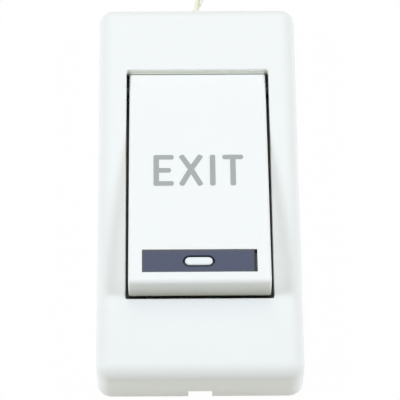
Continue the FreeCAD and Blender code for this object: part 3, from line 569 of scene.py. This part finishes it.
def makeStrip():
    finish = Finish("slateStrip")
    grain = finish.noise(strip["grainScale"])
    low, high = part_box("indicator_strip")
    edges = 0.0
    for axis, start, end in (("X", low.x / mm, high.x / mm), ("Y", low.y / mm, high.y / mm)):
        away = abs(finish.along(axis) - (start + end) / 2)
        half = (end - start) / 2
        edges = edges + finish.ramp(away, half - strip["borderWidth"], half)
    share = edges * strip["borderShare"]
    slate = finish.tint(share, opaque(strip["slate"]), opaque(strip["border"]))
    # painted shade: a dark band along the strip's right end
    end = finish.along("X") > high.x / mm - strip["endShadeWidth"]
    finish.shade(
        Base_Color=finish.tint(end, slate, opaque(strip["dark"])),
        Roughness=around(grain, strip["roughness"], strip["roughnessSpread"]),
        Normal=finish.bump(grain, strip["grainDepth"] * mm),
    )
    dress(finish, "indicator_strip")


# Milky lens, with painted shade on its stem below the window's rim, near-black at its ends

lens = {
    "milky": (0.84, 0.88, 0.9),
    "milkyShade": (0.79, 0.83, 0.86),
    "hazeScale": 500,
    "roughness": 0.25,
    "roughnessHaze": 0.08,
    "coat": 0.2,
    "stem": (0.13, 0.145, 0.13),
    "stemRise": (-0.7, -0.3),  # out from the sloping face
    "stemEndShade": (0.015, 0.015, 0.02),
    "endsAcross": (2.7, 3.1),
}


def makeLens():
    finish = Finish("milkyLens")
    haze = finish.noise(lens["hazeScale"])
    low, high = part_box("indicator_lens")
    centre = (low.x + high.x) / 2 / mm
    across, _, out = facePlaces(finish)
    # painted shade: dark stem below the face, black at its ends
    ends = finish.ramp(abs(across - centre), *lens["endsAcross"])
    stem = finish.tint(ends, opaque(lens["stem"]), opaque(lens["stemEndShade"]))
    milky = finish.tint(haze, opaque(lens["milkyShade"]), opaque(lens["milky"]))
    finish.shade(
        Base_Color=finish.tint(finish.ramp(out, *lens["stemRise"]), stem, milky),
        Roughness=lens["roughness"] + haze * lens["roughnessHaze"],
        Coat_Weight=lens["coat"],
    )
    dress(finish, "indicator_lens")


# Word on the rocker's face: plain rounded strokes, from the face's lower edge upwards

word = {
    "low": 27.65,
    "high": 36.8,
    "stroke": 1.36,
    "corner": 0.5,
    "cornerSegments": 5,
    "E": (-11.13, -6.15),
    "X": (-4.72, 0.96),
    "I": (2.76, 4.19),
    "T": (5.93, 11.06),
    "crossing": 0.54,  # how far up the letter X its arms meet
    "thickness": 0.02,
    "sunk": 0.02,
    "step": 0.003,  # each stroke stands this much above the one before it
    "grey": (0.415, 0.44, 0.44),
    "greyShade": (0.36, 0.385, 0.385),
    "speckScale": 4000,
    "roughness": 0.5,
    "roughnessSpeck": 0.1,
}


def strokeEnds():  # each stroke from one point to another, across and up the face
    half = word["stroke"] / 2
    low = word["low"] + half
    high = word["high"] - half
    middle = (low + high) / 2
    letters = {}
    left, right = word["E"][0] + half, word["E"][1] - half
    letters["E"] = [((left, low), (left, high))]
    letters["E"] += [((left, up), (right, up)) for up in (low, high)]
    letters["E"].append(((left, middle), (right - half, middle)))
    left, right = word["X"][0] + half, word["X"][1] - half
    cross = ((left + right) / 2, low + (high - low) * word["crossing"])
    letters["X"] = [((across, up), cross) for up in (low, high) for across in (left, right)]
    centre = sum(word["I"]) / 2
    letters["I"] = [((centre, low), (centre, high))]
    left, right = word["T"][0] + half, word["T"][1] - half
    centre = (left + right) / 2
    letters["T"] = [((left, high), (right, high)), ((centre, low), (centre, high))]
    return letters


def onFace():  # from flat millimetres on the face to the frame
    foot = Vector((0, slopingFace["footY"], slopingFace["footZ"])) * mm
    tilt = Matrix.Rotation(math.radians(-slopingFace["slope"]), 4, "X")
    return Matrix.Translation(foot) @ tilt @ Matrix.Scale(mm, 4)


def strokeShape(first, second, height):  # a flat bar with rounded corners
    first = Vector((*first, 0))
    second = Vector((*second, 0))
    run = second - first
    shape = bmesh.new()
    bmesh.ops.create_grid(shape, x_segments=1, y_segments=1, size=0.5)
    size = Vector((run.length + word["stroke"], word["stroke"], 1))
    bmesh.ops.scale(shape, vec=size, verts=shape.verts)
    bmesh.ops.translate(shape, vec=(run.length / 2, 0, 0), verts=shape.verts)
    bmesh.ops.bevel(
        shape,
        geom=shape.verts[:],
        affect="VERTICES",
        offset=word["corner"],
        segments=word["cornerSegments"],
        profile=0.5,
        material=-1,
    )
    raised = bmesh.ops.extrude_face_region(shape, geom=shape.faces[:])
    top = [item for item in raised["geom"] if isinstance(item, bmesh.types.BMVert)]
    bmesh.ops.translate(shape, verts=top, vec=(0, 0, height + word["sunk"]))
    turn = Matrix.Rotation(math.atan2(run.y, run.x), 4, "Z")
    lift = Matrix.Translation((first.x, first.y, -word["sunk"]))
    bmesh.ops.transform(shape, matrix=lift @ turn, verts=shape.verts)
    bmesh.ops.recalc_face_normals(shape, faces=shape.faces)
    return shape


def makeWord():
    ink = Finish("greyPrint")
    speck = ink.noise(word["speckScale"])
    ink.shade(
        Base_Color=ink.tint(speck, opaque(word["greyShade"]), opaque(word["grey"])),
        Roughness=word["roughness"] + speck * word["roughnessSpeck"],
    )
    for letter, strokes in strokeEnds().items():
        whole = bmesh.new()
        for number, (first, second) in enumerate(strokes):
            shape = strokeShape(first, second, word["thickness"] + number * word["step"])
            part = bpy.data.meshes.new("stroke")
            shape.to_mesh(part)
            shape.free()
            whole.from_mesh(part)
            bpy.data.meshes.remove(part)
        bmesh.ops.transform(whole, matrix=onFace(), verts=whole.verts)
        piece = newPiece(f"letter{letter}", whole)
        piece.data.materials.append(ink.material)
        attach(piece, "rocker")


makePlastics()
makeLedge()
makeStrip()
makeLens()
makeWord()
print("housing, rocker and word finished")


# Circuit board under its green mask

board = {
    "mask": (0.02, 0.14, 0.055),
    "track": (0.035, 0.2, 0.08),
    "trackScale": 280.0,
    "trackEdge": (0.1, 0.14),
    "trackDepth": 0.03,
    "cloudScale": 300,
    "roughness": 0.3,
    "roughnessCloud": 0.15,
    "coat": 0.3,
}


def makeBoard():
    finish = Finish("solderMask")
    cells = {"Vector": finish.place(), "Scale": board["trackScale"]}
    line = finish.add("ShaderNodeTexVoronoi", {"feature": "DISTANCE_TO_EDGE"}, cells)
    track = finish.ramp(line, *board["trackEdge"])
    cloud = finish.noise(board["cloudScale"])
    finish.shade(
        Base_Color=finish.tint(track, opaque(board["mask"]), opaque(board["track"])),
        Roughness=board["roughness"] + cloud * board["roughnessCloud"],
        Normal=finish.bump(track, board["trackDepth"] * mm),
        Coat_Weight=board["coat"],
    )
    dress(finish, "circuit_board")


# Small metal and plastic parts

metal = {
    "grainScale": 2500,
    "detail": 4,
    "shade": 0.86,
    "roughnessSpread": 0.2,
    "grainDepth": 0.003,
    "metallic": 1.0,
}
plastic = {
    "grainScale": 5000,
    "detail": 3,
    "shade": 0.9,
    "roughnessSpread": 0.15,
    "grainDepth": 0.006,
    "metallic": 0.0,
}
smallParts = {  # kind, colour, roughness and nodes
    "platedSteel": (metal, (0.6, 0.6, 0.59), 0.32, ["board_screws"]),
    "springWire": (metal, (0.6, 0.6, 0.59), 0.25, []),
    "tinnedMetal": (
        metal,
        (0.68, 0.68, 0.66),
        0.3,
        ["switch_pins", "led_legs", "resistor_legs", "lead_tails", "lead_ends"],
    ),
    "switchBlack": (plastic, (0.018, 0.018, 0.02), 0.5, ["switch_body"]),
    "plungerGrey": (plastic, (0.55, 0.55, 0.52), 0.4, ["switch_plunger"]),
    "lampEpoxy": (plastic, (0.8, 0.86, 0.82), 0.12, ["led_body"]),
    "nylonTie": (plastic, (0.78, 0.78, 0.75), 0.45, ["coil_tie"]),
    "creamLead": (plastic, lead["cream"], lead["roughness"], ["lead_wire_a"]),
    "paleLead": (plastic, lead["pale"], lead["roughness"], ["lead_wire_b"]),
}


def makeSmallPart(name):
    kind, colour, roughness, dressed = smallParts[name]
    finish = Finish(name)
    grain = finish.noise(kind["grainScale"], kind["detail"])
    shade = darker(colour, kind["shade"])
    finish.shade(
        Base_Color=finish.tint(grain, opaque(shade), opaque(colour)),
        Metallic=kind["metallic"],
        Roughness=around(grain, roughness, kind["roughnessSpread"]),
        Normal=finish.bump(grain, kind["grainDepth"] * mm),
    )
    dress(finish, *dressed)
    return finish


# Return spring, a smoothed copy of the imported coil

spring = {
    "hingeY": 28.5,
    "seat": 3.7,  # radius of the rocker's seat on it
    "foot": 2.0,
    "angle": 4.0,  # the rocker's whole travel
    "spare": 0.1,
    "merge": 0.001,
}


def makeSpring(finish):
    shape = bmesh.new()
    shape.from_mesh(nodes["return_spring"].data)
    bmesh.ops.remove_doubles(shape, verts=shape.verts, dist=spring["merge"] * mm)
    bmesh.ops.recalc_face_normals(shape, faces=shape.faces)
    for facet in shape.faces:
        facet.smooth = True
    piece = newPiece("springCoil", shape)
    piece.data.materials.append(finish.material)
    low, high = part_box("return_spring")
    reach = spring["hingeY"] - (low.y + high.y) / 2 / mm + spring["seat"]
    travel = reach * math.sin(math.radians(spring["angle"])) + spring["spare"]
    height = high.z / mm - spring["foot"]
    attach(piece, "base")
    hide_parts("return_spring")
    1 - travel / height
    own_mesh(piece)


# Resistor with four colour bands

resistor = {
    "tan": (0.6, 0.44, 0.24),
    "bands": [(0.2, 0.05, 0.02), (0.01, 0.01, 0.01), (0.5, 0.02, 0.01), (0.55, 0.38, 0.06)],
    "firstBand": 0.16,  # in shares of its length
    "bandStep": 0.19,
    "bandWidth": 0.09,
    "grainScale": 4000,
    "roughness": 0.3,
    "roughnessGrain": 0.1,
    "coat": 0.3,
}


def makeResistor():
    finish = Finish("resistorBands")
    low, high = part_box("resistor_body")
    share = (finish.along("Y") - low.y / mm) / ((high.y - low.y) / mm)
    tan = opaque(resistor["tan"])
    stops = [(0.0, tan)]
    for number, band in enumerate(resistor["bands"]):
        start = resistor["firstBand"] + number * resistor["bandStep"]
        stops += [(start, opaque(band)), (start + resistor["bandWidth"], tan)]
    stops.append((1.0, tan))
    grain = finish.noise(resistor["grainScale"])
    finish.shade(
        Base_Color=finish.add("ShaderNodeValToRGB", {"stops": stops}, [share]),
        Roughness=resistor["roughness"] + grain * resistor["roughnessGrain"],
        Coat_Weight=resistor["coat"],
    )
    dress(finish, "resistor_body")


makeBoard()
finishes = {name: makeSmallPart(name) for name in smallParts}
makeSpring(finishes["springWire"])
makeResistor()
print("inner parts finished")


# Studio: pale floor and world, which show as white, and soft lamps

white = (1.0, 1.0, 1.0)
ground = {
    "size": 3.0,
    "level": -0.02,
    "colour": (0.92, 0.9, 0.85),
    "roughness": 0.9,
    "glow": 0.98,
}
surroundings = {
    "light": 0.33,
    "tint": (1.0, 0.99, 0.76),
}
sideLamp = {
    "size": 0.4,
    "colour": (0.8, 0.84, 0.98),
    "reflected": False,
}
lowLamp = {
    "size": 0.4,
    "colour": (0.96, 0.97, 0.92),
    "reflected": False,
}
lamps = {
    "leftLamp": {"place": (-0.66, 0, 0.55), "power": 4.1, **sideLamp},
    "rightLamp": {"place": (0.65, 0, 0.55), "power": 3.75, **sideLamp},
    "lowLeftLamp": {"place": (-0.85, 0.03, 0.28), "power": 0.4, **lowLamp},
    "lowRightLamp": {"place": (0.85, 0.03, 0.28), "power": 0.4, **lowLamp},
    "topLamp": {
        "place": (0.0, 0.56, 0.66),
        "power": 1.0,
        "size": 0.6,
        "colour": (1, 1, 0.92),
        "reflected": True,
    },
}


def seenDirectly(finish):  # 1 where the camera, a reflection or clear plastic sees the surface
    path = "ShaderNodeLightPath"
    direct = finish.add(path, output="Is Camera Ray") + finish.add(path, output="Is Glossy Ray")
    both = direct + finish.add(path, output="Is Transmission Ray")
    return finish.add("ShaderNodeClamp", values=[both])


def makeFloor():
    shape = bmesh.new()
    bmesh.ops.create_grid(shape, x_segments=1, y_segments=1, size=ground["size"] / 2)
    floor = newPiece("paleFloor", shape)
    floor.location.z = ground["level"] * mm
    finish = Finish("floorWhite")
    finish.shade(Base_Color=opaque(ground["colour"]), Roughness=ground["roughness"])
    glow = finish.add("ShaderNodeEmission", values=[opaque(white), 1.0])
    share = seenDirectly(finish) * ground["glow"]
    plain = Signal(finish, finish.shader.outputs[0])
    mixed = finish.add("ShaderNodeMixShader", values=[share, plain, glow])
    finish.feed(finish.tree.nodes["Material Output"].inputs["Surface"], mixed)
    floor.data.materials.append(finish.material)


def makeWorld():
    world = bpy.data.worlds.new("studio")
    bpy.context.scene.world = world
    finish = Finish("studio", world)
    seen = seenDirectly(finish)
    finish.shade(
        Strength=surroundings["light"] + seen * (1 - surroundings["light"]),
        Color=finish.tint(seen, opaque(surroundings["tint"]), opaque(white)),
    )


def makeLamps():
    for name, lamp in lamps.items():
        data = bpy.data.lights.new(name, "AREA")
        data.shape = "DISK"
        data.size = lamp["size"]
        data.energy = lamp["power"]
        data.color = lamp["colour"]
        holder = link(name, data)
        holder.visible_glossy = lamp["reflected"]
        holder.location = lamp["place"]
        holder.rotation_euler = Vector(lamp["place"]).to_track_quat("Z", "Y").to_euler()


makeFloor()
makeWorld()
makeLamps()
bpy.context.scene.view_settings.view_transform = "Standard"
print("studio made")
